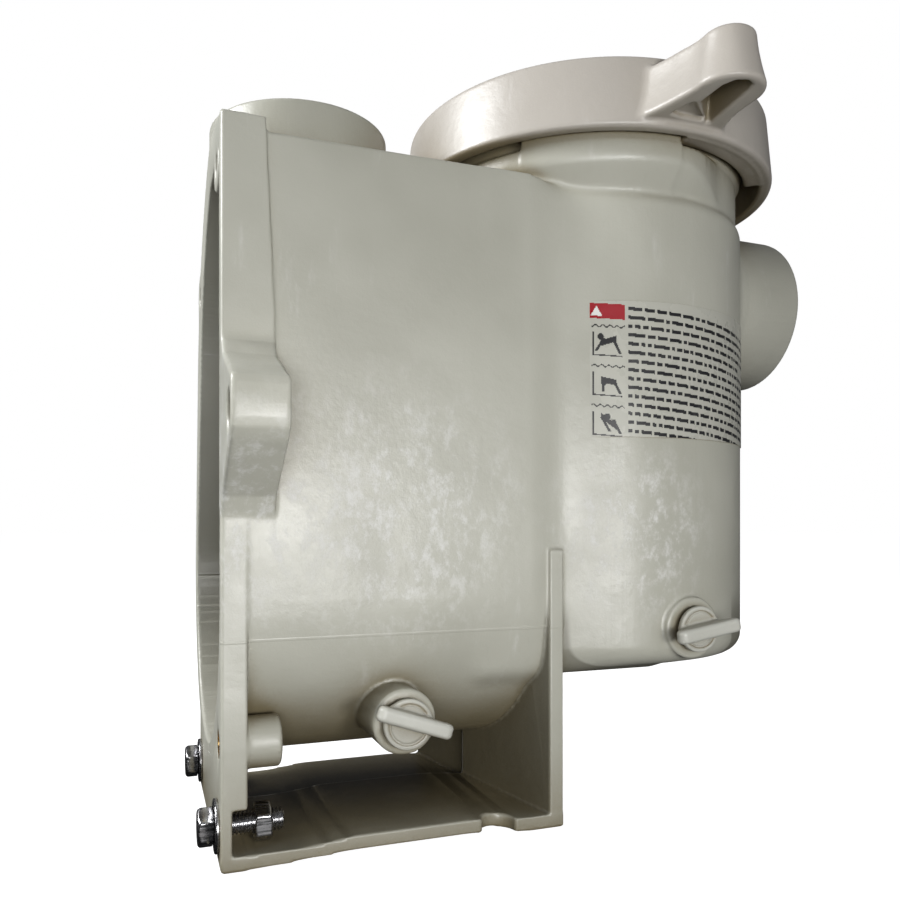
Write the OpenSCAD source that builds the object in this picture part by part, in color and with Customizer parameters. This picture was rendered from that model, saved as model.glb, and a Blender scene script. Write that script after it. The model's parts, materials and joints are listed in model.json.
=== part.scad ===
// Wet end of a self-priming pump: volute housing and strainer pot in one moulding, with clamp ring.
// Frame: X = 0 at the motor flange face, +X towards the suction port; Y = 0 in the plane of both ports;
// Z = 0 at the underside of the foot, +Z up.

/* [Volute] */
// Outer radius of the volute drum
vol_r = 80; // [78:0.5:82]
// Height of the volute axis
vol_z = 110; // [106:1:112]
// Offset of the volute axis from the port plane
vol_y = 7.5; // [5:0.5:9]
// Height of the flat roof
roof_z = 300; // [296:1:301]
// End of the volute towards the pot
vol_end_x = 150; // [148:1:152]
// Wall thickness of the moulding
wall = 5.5; // [5:0.1:6]

/* [Flange] */
// Thickness of the lower flange plate
flange_low_t = 10.8; // [9:0.2:12]
// Thickness of the upper flange rim
flange_high_t = 18.7; // [17:0.1:20]
// Height of the squared corner of the rim
flange_corner_z = 305; // [303:1:306]
// Radius of the flange bolt holes
flange_hole_r = 5; // [4:0.1:5.5]

/* [Strainer pot] */
// Distance of the pot axis from the flange face
pot_x = 205.2; // [204:0.1:207]
// Outer radius of the pot
pot_r = 84.2; // [83:0.1:85]
// Underside of the pot
pot_z0 = 73; // [71:1:75]
// Top of the pot's thick body
pot_z1 = 298; // [297:1:300]
// Top of the neck
neck_top = 337.5; // [336:0.5:338]

/* [Ports] */
// Outer radius of both port collars
port_r = 43.3; // [42:0.1:43.6]
// Radius of the pipe sockets, for 60.3 mm pipe
socket_r = 30.2; // [29:0.1:31]
// Depth of the pipe sockets
socket_len = 34; // [30:1:35]
// Discharge axis from the flange face
discharge_x = 44.5; // [44.3:0.1:46]
// Rim of the discharge collar
discharge_top = 330.5; // [328:0.5:333]
// Height of the suction axis
suction_z = 265.4; // [260:0.1:268]
// Rim of the suction collar
suction_end = 320; // [316:1:324]

/* [Foot] */
// Thickness of the foot plate and of its upright wall
foot_t = 6.4; // [5:0.2:7]
// Outer end of the foot at its near edge
foot_end = 153.6; // [150:0.2:156]
// Far edge of the foot plate
foot_far = 50; // [46:1:54]
// Relief under the middle of the foot
foot_relief = 2.4; // [1:0.2:3]
// Slant of the upright wall, degrees
foot_slant = 11.9; // [9:0.1:13]

/* [Clamp ring] */
// Outer radius of the ring
ring_r = 100; // [99:0.5:101]
// Lower edge of the ring
ring_z0 = 317; // [316:0.5:318]
// Upper edge of the ring
ring_z1 = 350; // [349:0.5:352]
// Turn from locked to free, degrees
ring_turn = 50; // [46:1:50]
// Rise of ring and lid over that turn
ring_lift = 1.5; // [1:0.1:1.8]
// Reach of the looped ears from the axis
ear_reach = 142; // [138:1:146]

/* [Drain plugs] */
// Radius of the plug's threaded shank
plug_r = 6.5; // [6:0.1:6.8]
// Radius of the plug's disc
plug_disc_r = 10.7; // [10:0.1:11]
// Length of the wing grip
wing_len = 32; // [28:1:34]

/* [Fasteners] */
// Shank radius of the foot bolts
bolt_r = 4.75; // [4.5:0.05:4.8]
// Thickness of a foot nut
nut_t = 7.1; // [6.5:0.1:8]

/* [Rotor] */
// Outer radius of the impeller
impeller_r = 48; // [44:1:49]
// Number of blades
blades = 6; // [4:1:8]

/* [Hidden] */
$fn = 96;
eps = 0.01;
gap = 0.3;          // clearance between pieces that move past each other
fit = 0.05;         // radial clearance of a running fit
half_w = vol_r - vol_y;
near_y = -half_w - 0.6;   // near edge of flange and foot, a little proud of the wall
shoulder = [-47, 200];
shoulder_r = 105;
rim_grow = 15;      // how far the flange rim stands out past the duct at the shoulder
drum_grow = 4;      // how far it stands out past the drum
mid_x = 95;         // pressure side of the divider wall
eye_r = 30.5;       // hole in the divider for the diffuser's nose
duct_half = 60;     // half width of the suction passage
ear_tip = -113;     // near edge of the mid ear
ear_z = 182.5;
ear_hole = [-103, 181];
top_holes = [[-51, 291], [52, 262]];
boss_pos = [-61.5, 49];
boss_r = 10.8;
cut_foot = 26;      // height of the flat cut above the foot
cut_b = 93.3;       // flat cuts before and after the divider
cut_c = 101.7;
cut_d = 156;        // flat cut between suction chamber and pot
blend = 0.05;       // how far a tangent line is drawn inside its circles
near_bolt = [-60, 15.1];
far_bolt = [39, 15.1];
neck_r = 84;
neck_bore = 77;
stop_r = 91;
tab_r = 86;
tab_top = 323;
lug_span = 48.5;
lug_steps = 5;
lip_z = 344.4;
ring_wall = 6.8;
ring_bore = ring_r - ring_wall;
ear_mid = 113;      // middle of the ear's slot, from the ring's axis
lid_z0 = neck_top + 1.4;
pot_plug = [215, 90.5];
pot_plug_face = -86.5;
vol_plug = [75, 56];
vol_plug_face = -79;
plug_hole_r = plug_r + fit;
ring_wire = 1.3;    // wire radius of the plug seals
rotor_x = 36;       // back face of the impeller
nose_r = 30;        // outer radius of the diffuser's nose
wear_r = 26;
eye_neck_r = 24;
screw_circle = 66;
post_x = 62;        // face of the diffuser's screw posts

function tangent_angle(r1, r2) =
  atan2(vol_z - shoulder[1], vol_y - shoulder[0])
  + acos((r1 - r2) / norm([vol_y - shoulder[0], vol_z - shoulder[1]]));
function on_circle(c, r, a) = [c[0] + r * cos(a), c[1] + r * sin(a)];

// Extrudes a (Y, Z) outline along X, from x0 to x1
module slab(x0, x1) {
  translate([x0, 0, 0]) rotate([90, 0, 90]) linear_extrude(x1 - x0) children();
}
// Cylinder along +X
module rod(x0, x1, y, z, r) {
  translate([x0, y, z]) rotate([0, 90, 0]) cylinder(r = r, h = x1 - x0);
}
// Cylinder along Y, from y0 to y1
module peg(x, z, y0, y1, r) {
  translate([x, y1, z]) rotate([90, 0, 0]) cylinder(r = r, h = y1 - y0);
}
module tube_z(z0, z1, r_out, r_in) {
  translate([0, 0, z0]) difference() {
    cylinder(r = r_out, h = z1 - z0);
    translate([0, 0, -1]) cylinder(r = r_in, h = z1 - z0 + 2);
  }
}
module tube_x(x0, x1, r_out, r_in) {
  difference() {
    rod(x0, x1, vol_y, vol_z, r_out);
    rod(x0 - 1, x1 + 1, vol_y, vol_z, r_in);
  }
}

// Outline of the volute and its riser, in (Y, Z), drawn in by inset
module duct_outline(inset) {
  a = tangent_angle(shoulder_r, vol_r);
  r = shoulder_r - inset;
  roof = roof_z - inset;
  near = inset - half_w + blend;
  flat_end = shoulder[0] + sqrt(r * r - pow(roof - shoulder[1], 2)) - 3;
  translate([vol_y, vol_z]) circle(r = vol_r - inset);
  intersection() {
    translate(shoulder) circle(r = r);
    translate([near, vol_z]) square([2 * shoulder_r, roof - vol_z]);
  }
  polygon([[near, vol_z], [near, roof], [flat_end, roof], on_circle(shoulder, r - blend, a),
    on_circle([vol_y, vol_z], vol_r - inset - blend, a), [vol_y, vol_z]]);
}
// Cross-section of the suction passage, the outline cut to a narrower box
module passage_outline(inset) {
  half = duct_half - inset;
  intersection() {
    duct_outline(inset);
    translate([-half, pot_z0 + 6 + inset]) square([2 * half, pot_z1 - pot_z0 - 9 - 2 * inset]);
  }
}
// Outline of the flange: squared near edge, rounded far edge, foot below
module flange_outline() {
  r1 = shoulder_r + rim_grow;
  r2 = vol_r + drum_grow;
  a = tangent_angle(r1, r2);
  intersection() {
    union() {
      translate([vol_y, vol_z]) circle(r = r2);
      translate(shoulder) circle(r = r1);
      polygon([shoulder, on_circle(shoulder, r1 - blend, a),
        on_circle([vol_y, vol_z], r2 - blend, a), [vol_y, vol_z], [near_y, vol_z], [near_y, roof_z]]);
      translate([near_y, 0]) square([foot_far - near_y, vol_z]);
    }
    polygon([[near_y, 0], [near_y, flange_corner_z], [-23, flange_corner_z + 11],
      [2 * vol_r, flange_corner_z + 11], [2 * vol_r, 0]]);
  }
}
module mid_ear() {
  slab(0, 20) polygon([[-half_w + 6, ear_z - 34], [ear_tip, ear_z - 10.5], [ear_tip, ear_z + 10.5],
    [-half_w + 6, ear_z + 34]]);
}
// Foot plate with its relieved underside, and the slanted wall that carries the volute
module foot() {
  r = foot_relief;
  translate([0, foot_far, 0]) rotate([90, 0, 0]) linear_extrude(foot_far - near_y)
    polygon([[0, 0], [10, 0], [45, r], [112, r], [134, 0], [foot_end - 0.4, 0],
      [foot_end - 0.4, foot_t], [134, foot_t + 1], [45, foot_t + r], [10, foot_t], [0, foot_t]]);
  drift = tan(foot_slant) * (foot_far - near_y);
  linear_extrude(vol_z + 18) polygon([[foot_end - foot_t - 0.4, near_y], [foot_end, near_y],
    [foot_end - drift, foot_far], [foot_end - foot_t - 0.4 - drift, foot_far]]);
}
module housing_outer() {
  slab(0, flange_low_t) flange_outline();
  intersection() {
    slab(0, flange_high_t) flange_outline();
    translate([-1, -150, ear_z]) cube([60, 300, 200]);
  }
  mid_ear();
  rod(0, flange_high_t, top_holes[1][0], top_holes[1][1], 13);
  rod(0, 25, boss_pos[0], boss_pos[1], boss_r);
  slab(1, vol_end_x) duct_outline(0);
  foot();
  // suction passage between volute and pot
  slab(vol_end_x - 5, pot_x) passage_outline(0.3);
  // pot, neck and the bayonet's stops and lugs
  translate([pot_x, 0, 0]) {
    translate([0, 0, pot_z0]) cylinder(r1 = pot_r - 6, r2 = pot_r, h = 8);
    translate([0, 0, pot_z0 + 8]) cylinder(r = pot_r, h = pot_z1 - pot_z0 - 8);
    cylinder_neck();
  }
  // collars
  translate([discharge_x, 0, roof_z - 20]) cylinder(r = port_r, h = discharge_top - roof_z + 20);
  rod(pot_x + 40, suction_end, 0, suction_z, port_r);
  // drain bosses
  peg(pot_plug[0], pot_plug[1], pot_plug_face, -70, 14.5);
  peg(vol_plug[0], vol_plug[1], vol_plug_face, -36, 14);
}
// Part of a ring about Z, an (r, z) outline turned from azimuth a0 to a1
module arc_of(a0, a1, outline) {
  rotate([0, 0, a0]) rotate_extrude(angle = a1 - a0) polygon(outline);
}
module cylinder_neck() {
  translate([0, 0, pot_z1 - 1]) cylinder(r = neck_r, h = neck_top - pot_z1 + 1);
  for (side = [0, 180]) rotate([0, 0, side]) {
    arc_of(-138, -90, [[neck_r - 3, pot_z1 - 3], [neck_r - 0.5, pot_z1 - 3], [stop_r, pot_z1 + 9],
      [stop_r, neck_top - 6], [neck_r - 3, neck_top - 6]]);
    // bayonet lug, its underside rising in steps
    for (i = [0 : lug_steps - 1]) {
      low = tab_top + gap + ring_lift * (i + 1) / lug_steps;
      arc_of(-92, -90 + lug_span * (i + 1) / lug_steps, [[neck_r - 2, low], [stop_r - 0.6, low],
        [stop_r - 0.6, neck_top - 7], [neck_r - 2, neck_top - 7]]);
    }
  }
}
module housing_inner() {
  // pressure side, open at the flange
  difference() {
    slab(-1, mid_x) duct_outline(wall);
    for (a = [0:120:240]) rod(post_x, mid_x + 1, vol_y + screw_circle * cos(a),
      vol_z + screw_circle * sin(a), 6);
    // boss round the near top hole
    rod(-2, 26, top_holes[0][0], top_holes[0][1], 11);
  }
  // eye and suction side
  rod(mid_x - 1, mid_x + wall + 1, vol_y, vol_z, eye_r);
  slab(mid_x + wall, vol_end_x - wall) duct_outline(wall + 4);
  slab(vol_end_x - wall - 1, pot_x) passage_outline(wall);
  translate([pot_x, 0, pot_z0 + wall]) cylinder(r = pot_r - wall, h = pot_z1 - pot_z0 - 2 * wall);
  translate([pot_x, 0, pot_z1 - wall - 1]) cylinder(r = neck_bore, h = 80);
  // sockets and their throats
  translate([discharge_x, 0, discharge_top - socket_len]) cylinder(r = socket_r, h = socket_len + 1);
  translate([discharge_x, 0, discharge_top - socket_len - 15]) cylinder(r = socket_r - 4, h = 20);
  rod(suction_end - socket_len, suction_end + 1, 0, suction_z, socket_r);
  rod(pot_x + 60, suction_end - socket_len + 5, 0, suction_z, socket_r - 4);
  // groove of the lid seal
  translate([pot_x, 0, 0]) tube_z(neck_top - 2, neck_top + 1, 82.3, 78.7);
  // flange holes
  for (p = top_holes) rod(-1, flange_high_t + 1, p[0], p[1], flange_hole_r);
  rod(-1, 21, ear_hole[0], ear_hole[1], flange_hole_r);
  rod(-1, 16, boss_pos[0], boss_pos[1], 6);
  for (p = [near_bolt, far_bolt]) {
    rod(-1, flange_low_t + 1, p[0], p[1], bolt_r + gap);
    // pocket behind the bolt
    translate([4.7, p[0] - 14, foot_t - 0.1]) cube([flange_low_t, 26, 18]);
  }
  // drains
  peg(pot_plug[0], pot_plug[1], pot_plug_face - 1, -60, plug_hole_r);
  peg(vol_plug[0], vol_plug[1], vol_plug_face - 1, -30, plug_hole_r);
  // screw holes in the posts
  for (a = [0:120:240]) rod(post_x - 1, post_x + 14, vol_y + screw_circle * cos(a),
    vol_z + screw_circle * sin(a), 2.1);
  // open anchor notch in the foot
  translate([121, near_y, -1]) cylinder(r = 8, h = 20);
}
module housing() {
  difference() {
    housing_outer();
    housing_inner();
  }
}
// The one moulding is given as blocks that meet at flat cuts, each block as [lowest corner, highest corner]
boss_blocks = [
  [[284.6, -60, 215], [400, 60, 320]],
  [[-1, -44.5, 293], [90, 44.5, 400]],
  [[-1, -200, 100], [40, -74, 260]],
  [[-1, -75, 274], [27, -38, 400]],
  [[-1, 35, 244], [27, 70, 279]],
  [[-1, -75, cut_foot], [27, -46, 62]]];
module block(b) {
  translate(b[0]) cube(b[1] - b[0]);
}
module housing_block(b) {
  color([0.78, 0.77, 0.72]) intersection() {
    housing();
    block(b);
  }
}
module posts_rod() {
  rod(post_x - 1, cut_b, vol_y, vol_z, vol_r - wall - 1.5);
}
module housing_suction_collar() housing_block(boss_blocks[0]);
module housing_discharge_collar() housing_block(boss_blocks[1]);
module housing_mid_ear() housing_block(boss_blocks[2]);
module housing_top_near_boss() difference() {
  housing_block(boss_blocks[3]);
  block(boss_blocks[1]);
}
module housing_top_far_boss() housing_block(boss_blocks[4]);
module housing_insert_boss() housing_block(boss_blocks[5]);
module housing_foot() housing_block([[-1, -200, -1], [cut_d, 200, cut_foot]]);
module housing_diffuser_posts() color([0.78, 0.77, 0.72]) intersection() {
  housing();
  posts_rod();
}
module housing_divider() housing_block([[cut_b, -200, cut_foot], [cut_c, 200, 400]]);
// Volute between two Y planes, without the blocks above
module housing_volute(y0, y1) difference() {
  housing_block([[-1, y0, cut_foot], [cut_b, y1, 400]]);
  for (b = boss_blocks) block(b);
  posts_rod();
}
module housing_volute_near() housing_volute(-200, 0);
module housing_volute_far() housing_volute(0, 200);
module housing_chamber_near() housing_block([[cut_c, -200, cut_foot], [cut_d, 0, 400]]);
module housing_chamber_far() housing_block([[cut_c, 0, cut_foot], [cut_d, 200, 400]]);
module housing_pot(y0, y1) difference() {
  housing_block([[cut_d, y0, 26], [400, y1, 400]]);
  block(boss_blocks[0]);
}
module housing_pot_near() housing_pot(-200, 0);
module housing_pot_far() housing_pot(0, 200);

// One looped ear, drawn towards -Y
module ear_outline() {
  polygon([[-46, -88], [-30, -101], [-19, -118], [-16, -ear_reach + 12], [-12, -ear_reach + 4],
    [-5, -ear_reach], [5, -ear_reach], [12, -ear_reach + 4], [16, -ear_reach + 12], [19, -112],
    [30, -95], [34, -88]]);
}
module clamp_ring() {
  color([0.79, 0.76, 0.71]) translate([pot_x, 0, 0]) difference() {
    union() {
      tube_z(ring_z0, ring_z1, ring_r, ring_bore);
      tube_z(lip_z, ring_z1, ring_bore + 1, 80);
      for (side = [0, 180]) rotate([0, 0, side]) {
        arc_of(-89.5, -90 + lug_span, [[tab_r, ring_z0], [ring_bore + 2, ring_z0],
          [ring_bore + 2, tab_top], [tab_r, tab_top]]);
        difference() {
          translate([0, 0, ring_z0 + 3]) linear_extrude(ring_z1 - ring_z0 - 3) ear_outline();
          translate([0, 0, ring_z0 - 1]) cylinder(r = ring_r - 3, h = 60);
        }
      }
    }
    for (side = [0, 180]) rotate([0, 0, side]) translate([0, 0, ring_z0 - 1]) linear_extrude(60) {
      translate([-10, -ear_mid - 13]) square([20, 22]);
      translate([0, -ear_mid - 13]) circle(r = 10);
    }
  }
}
module lid() {
  color([0.25, 0.27, 0.28, 0.5]) translate([pot_x, 0, 0]) {
    tube_z(lid_z0, lip_z - gap, ring_bore - 0.7, 70);
    tube_z(lid_z0 - 9, lid_z0 + 1, neck_bore - 1, 70);
    translate([0, 0, lid_z0 - 9]) cylinder(r = 71, h = 5);
    for (a = [0:60:120]) rotate([0, 0, a]) translate([-70.5, -1.5, lid_z0 - 5]) cube([141, 3, 9]);
    translate([0, 0, lid_z0 - 5]) cylinder(r = 12, h = 12);
  }
}
module lid_o_ring() {
  color([0.08, 0.08, 0.08]) translate([pot_x, 0, neck_top - 0.4]) rotate_extrude()
    translate([80.5, 0]) circle(r = 1.6, $fn = 32);
}
module strainer_basket() {
  top = neck_top - 14;
  base = pot_z0 + wall;
  color([0.85, 0.86, 0.86]) translate([pot_x, 0, 0]) {
    difference() {
      union() {
        translate([0, 0, base]) cylinder(r1 = 60, r2 = 66, h = 160);
        translate([0, 0, base + 159]) cylinder(r1 = 66, r2 = 75.5, h = top - base - 159 - 3);
        translate([0, 0, top - 3]) cylinder(r = 76, h = 3);
      }
      translate([0, 0, base + 3]) cylinder(r1 = 57, r2 = 63, h = 157 + eps);
      translate([0, 0, base + 160]) cylinder(r1 = 63, r2 = 72.5, h = top - base - 159);
      for (a = [0:22.5:337.5]) rotate([0, 0, a]) for (z = [14, 60, 106])
        translate([40, -5, base + z]) cube([50, 10, 34]);
      for (a = [0:45:315]) rotate([0, 0, a]) translate([22, -4, base - 1]) cube([26, 8, 6]);
      // way in from the suction port
      rod(20, 100, 0, suction_z, socket_r - 2);
    }
    translate([-73, -4, top - 8]) cube([146, 8, 5]);
  }
}

// Wing-headed plug pointing along -Y from its boss's face, turned by tilt
module drain_plug(pos, face, tilt) {
  seat = face - 2 * ring_wire - 0.04;
  peg(pos[0], pos[1], seat - 0.1, face + 12, plug_r);
  peg(pos[0], pos[1], seat - 3, seat, plug_disc_r);
  translate([pos[0], seat - 2.9, pos[1]]) rotate([0, tilt, 0]) translate([0, 0, -3.5]) {
    translate([3.5 - wing_len / 2, -6, 0]) cube([wing_len - 7, 6, 7]);
    for (s = [-1, 1]) translate([s * (wing_len / 2 - 3.5), 0, 3.5]) rotate([90, 0, 0])
      cylinder(r = 3.5, h = 6);
  }
}
module drain_o_ring(pos, face) {
  translate([pos[0], face - ring_wire - 0.02, pos[1]]) rotate([90, 0, 0]) rotate_extrude()
    translate([plug_r + ring_wire + 0.1, 0]) circle(r = ring_wire, $fn = 32);
}
module volute_drain_plug() {
  color([0.80, 0.79, 0.75]) drain_plug(vol_plug, vol_plug_face, 16);
}
module volute_drain_o_ring() {
  color([0.08, 0.08, 0.08]) drain_o_ring(vol_plug, vol_plug_face);
}
module pot_drain_plug() {
  color([0.80, 0.79, 0.75]) drain_plug(pot_plug, pot_plug_face, -9);
}
module pot_drain_o_ring() {
  color([0.08, 0.08, 0.08]) drain_o_ring(pot_plug, pot_plug_face);
}

module diffuser() {
  color([0.16, 0.16, 0.17]) difference() {
    union() {
      tube_x(rotor_x - 6, post_x - 1, 56, 53);
      tube_x(post_x - 4.5, post_x - 1.5, 55, wear_r);
      tube_x(post_x - 2, mid_x + 4, nose_r, wear_r);
      for (a = [0:120:240]) rotate_about_axis(a)
        translate([post_x - 4, vol_y + 54, vol_z - 6]) cube([3.8, 17, 12]);
    }
    for (a = [0:120:240]) rod(post_x - 6, post_x + 1, vol_y + screw_circle * cos(a),
      vol_z + screw_circle * sin(a), 2.4);
    // groove of the nose seal
    tube_x(mid_x + 0.5, mid_x + 3, nose_r + 1, nose_r - 1.8);
    // outlet windows round the rim
    for (a = [30:60:330]) rotate_about_axis(a) translate([rotor_x, vol_y + 45, vol_z - 11])
      cube([14, 20, 22]);
  }
}
module rotate_about_axis(a) {
  translate([0, vol_y, vol_z]) rotate([a, 0, 0]) translate([0, -vol_y, -vol_z]) children();
}
module diffuser_o_ring() {
  color([0.08, 0.08, 0.08]) translate([mid_x + 1.75, vol_y, vol_z]) rotate([0, 90, 0])
    rotate_extrude() translate([nose_r - 0.75, 0]) circle(r = 1, $fn = 32);
}
module diffuser_screws() {
  color([0.6, 0.6, 0.6]) for (a = [0:120:240]) {
    y = vol_y + screw_circle * cos(a);
    z = vol_z + screw_circle * sin(a);
    difference() {
      union() {
        rod(post_x - 4 - 3, post_x - 4, y, z, 4.2);
        rod(post_x - 5, post_x + 12, y, z, 2.05);
      }
      translate([post_x - 7.5, y - 3, z - 0.5]) cube([1.6, 6, 1]);
      translate([post_x - 7.5, y - 0.5, z - 3]) cube([1.6, 1, 6]);
    }
  }
}
// One backward-curved blade, a strip of even thickness along an arc
module blade_outline() {
  steps = 8;
  function along(i, r) = [r * sin(8 + i * 8.5), 30 - r * cos(8 + i * 8.5)];
  polygon(concat([for (i = [0 : steps]) along(i, 31)], [for (i = [steps : -1 : 0]) along(i, 28.6)]));
}
module impeller() {
  color([0.10, 0.10, 0.11]) difference() {
    union() {
      rod(rotor_x, rotor_x + 3, vol_y, vol_z, impeller_r);
      tube_x(rotor_x + 13, rotor_x + 16, impeller_r, 22);
      tube_x(rotor_x + 15, post_x + 6, eye_neck_r, 21);
      rod(rotor_x - 4, rotor_x + 12, vol_y, vol_z, 14);
      rod(rotor_x - 12, rotor_x, vol_y, vol_z, 10);
      for (i = [0 : blades - 1]) rotate_about_axis(360 / blades * i)
        slab(rotor_x + 2, rotor_x + 14) translate([vol_y + 12, vol_z]) blade_outline();
    }
    rod(rotor_x - 13, rotor_x + 10, vol_y, vol_z, 4.9);
  }
}
module wear_ring() {
  color([0.75, 0.75, 0.72]) tube_x(post_x - 2, post_x + 6, wear_r, eye_neck_r + fit);
}
module seal_cup() {
  color([0.07, 0.07, 0.07]) difference() {
    rod(rotor_x - 10, rotor_x - 4, vol_y, vol_z, 16);
    rod(rotor_x - 11, rotor_x - 3, vol_y, vol_z, 10 + fit);
    tube_x(rotor_x - 11, rotor_x - 5.5, 14.5, 9);
  }
}
module seal_face() {
  color([0.93, 0.92, 0.88]) tube_x(rotor_x - 11, rotor_x - 5.5, 14.5, 10.2);
}
module flange_insert() {
  color([0.72, 0.58, 0.30]) difference() {
    rod(0.3, 15.9, boss_pos[0], boss_pos[1], 5.95);
    rod(-1, 14, boss_pos[0], boss_pos[1], 4);
  }
}

// Hex prism along +X with flats above and below
module hex(x0, x1, pos, across) {
  translate([x0, pos[0], pos[1]]) rotate([0, 90, 0]) rotate([0, 0, 30])
    cylinder(r = across / sqrt(3), h = x1 - x0, $fn = 6);
}
module foot_bolt(pos) {
  color([0.66, 0.66, 0.67]) {
    rod(-3, 27, pos[0], pos[1], bolt_r);
    hex(-8.2, -1.75, pos, 14.3);
  }
}
module foot_washer(pos) {
  color([0.70, 0.70, 0.71]) difference() {
    rod(-1.65, -0.05, pos[0], pos[1], 11);
    rod(-3, 3, pos[0], pos[1], bolt_r + gap);
  }
}
module foot_nut(pos, x) {
  color([0.62, 0.62, 0.64]) difference() {
    hex(x, x + nut_t, pos, 14.3);
    rod(x - 1, x + nut_t + 1, pos[0], pos[1], bolt_r + fit);
  }
}
module near_foot_bolt() foot_bolt(near_bolt);
module near_foot_washer() foot_washer(near_bolt);
module near_foot_nut() foot_nut(near_bolt, 14.5);
module far_foot_bolt() foot_bolt(far_bolt);
module far_foot_washer() foot_washer(far_bolt);
module far_foot_nut() foot_nut(far_bolt, 5);

module warning_label() {
  color([0.85, 0.84, 0.82]) translate([pot_x, 0, 0]) arc_of(-117, -36,
    [[pot_r + 0.05, 180], [pot_r + 0.5, 180], [pot_r + 0.5, 244.5], [pot_r + 0.05, 244.5]]);
}

housing_suction_collar();
housing_discharge_collar();
housing_mid_ear();
housing_top_near_boss();
housing_top_far_boss();
housing_insert_boss();
housing_foot();
housing_diffuser_posts();
housing_divider();
housing_volute_near();
housing_volute_far();
housing_chamber_near();
housing_chamber_far();
housing_pot_near();
housing_pot_far();
clamp_ring();
lid();
lid_o_ring();
strainer_basket();
volute_drain_plug();
volute_drain_o_ring();
pot_drain_plug();
pot_drain_o_ring();
diffuser();
diffuser_o_ring();
diffuser_screws();
impeller();
wear_ring();
seal_cup();
seal_face();
flange_insert();
near_foot_bolt();
near_foot_washer();
near_foot_nut();
far_foot_bolt();
far_foot_washer();
far_foot_nut();
warning_label();
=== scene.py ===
"""Looks of a pump's wet end: almond moulding, clamp ring, lid, plugs, bolts and label, round the CAD frame."""

import json
import math
import random

import bmesh
import bpy
import numpy as np
import openvdb
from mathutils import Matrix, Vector


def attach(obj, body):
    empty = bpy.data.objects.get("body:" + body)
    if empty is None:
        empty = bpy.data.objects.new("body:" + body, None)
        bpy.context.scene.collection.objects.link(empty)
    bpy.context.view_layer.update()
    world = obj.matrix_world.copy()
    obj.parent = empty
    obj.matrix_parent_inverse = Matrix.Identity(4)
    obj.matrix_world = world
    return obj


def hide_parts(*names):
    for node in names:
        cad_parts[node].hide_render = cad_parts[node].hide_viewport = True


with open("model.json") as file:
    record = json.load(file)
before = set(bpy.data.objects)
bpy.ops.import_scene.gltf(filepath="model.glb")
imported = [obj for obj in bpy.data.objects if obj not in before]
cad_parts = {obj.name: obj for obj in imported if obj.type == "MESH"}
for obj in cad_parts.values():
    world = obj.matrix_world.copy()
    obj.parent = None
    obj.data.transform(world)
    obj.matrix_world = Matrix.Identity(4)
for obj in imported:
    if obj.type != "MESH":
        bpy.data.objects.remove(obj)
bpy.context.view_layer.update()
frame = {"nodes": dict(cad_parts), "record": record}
MM = 0.001
nodes = frame["nodes"]

# ---------------------------------------------------------------- driving sizes, in millimetres
VOL_R, VOL_Y, VOL_Z = 80.0, 7.5, 110.0        # volute drum
ROOF_Z = 300.0
VOL_END = 150.0
WALL = 5.5
HALF_W = VOL_R - VOL_Y
LEAN, LEAN_Z = 2.3, 140.0                     # the near wall leans back by this much at the roof, from this height
NEAR_Y = -HALF_W - 0.6                        # near edge of flange and foot
SHOULDER = (-47.0, 200.0)
SHOULDER_R = 105.0
RIM_GROW, DRUM_GROW = 15.0, 4.0
FLANGE_LOW, FLANGE_HIGH = 10.8, 18.7          # its thickness below and above the near ear
STRIP_W = 21.6                                # width of the raised strip and of the near ear
CORNER_Z = 305.0
EAR_TIP = -113.0
POT_X, POT_R, POT_Z0, POT_Z1 = 205.2, 84.2, 73.0, 298.0
NECK_R, NECK_BORE, NECK_TOP, NECK_WAIST = 84.0, 77.0, 337.5, 2.2
STOP_R = 91.0
PORT_R, SOCKET_R, SOCKET_LEN = 43.3, 30.2, 34.0
DISCHARGE_X, DISCHARGE_TOP = 44.5, 330.5
SUCTION_Z, SUCTION_END = 265.4, 320.0
FOOT_T, FOOT_END, FOOT_FAR, FOOT_SLANT = 6.4, 153.6, 50.0, math.radians(11.9)
FOOT_RELIEF, FOOT_STEP = 2.4, 2.9             # arch of the underside; the far half lies lower by the step
DIVIDER_X = 95.0
EYE_R = 30.5
DUCT_HALF = 60.0
RING_R, RING_WALL, RING_Z0, RING_Z1 = 100.0, 6.8, 317.0, 350.0
RING_BORE = RING_R - RING_WALL
TAB_R, TAB_TOP, LUG_SPAN, LIFT = 86.0, 323.0, 48.5, 1.5
EAR_MID, EAR_HALF, EAR_END = -2.5, 11.4, 136.9
EAR_Z0, EAR_Z1 = RING_Z0 + 3.2, RING_Z1 - 5.5
LIP_Z = 344.4
LID_R = 73.0                                  # the lid's clear window
POT_PLUG = (215.0, 90.5, -86.5)               # x, z and the face of its boss
VOL_PLUG = (75.0, 56.0, -79.0)
PLUG_HOLE = 6.6
TOP_HOLES = ((-51.0, 291.0), (52.0, 262.0))   # y, z
EAR_HOLE = (-103.0, 181.0)
BOSS = (-61.5, 49.0, 10.8)                    # y, z and radius
FOOT_BOLTS = ((-60.0, 15.1), (39.0, 15.1))
BOLT_R, BOLT_TIP = 4.75, 27.0
HEX_ACROSS = 14.3
HEX_CORNER = HEX_ACROSS / math.sqrt(3)


# ---------------------------------------------------------------- signed distances
def circle2(u, v, cu, cv, r):
    return np.hypot(u - cu, v - cv) - r


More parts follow.
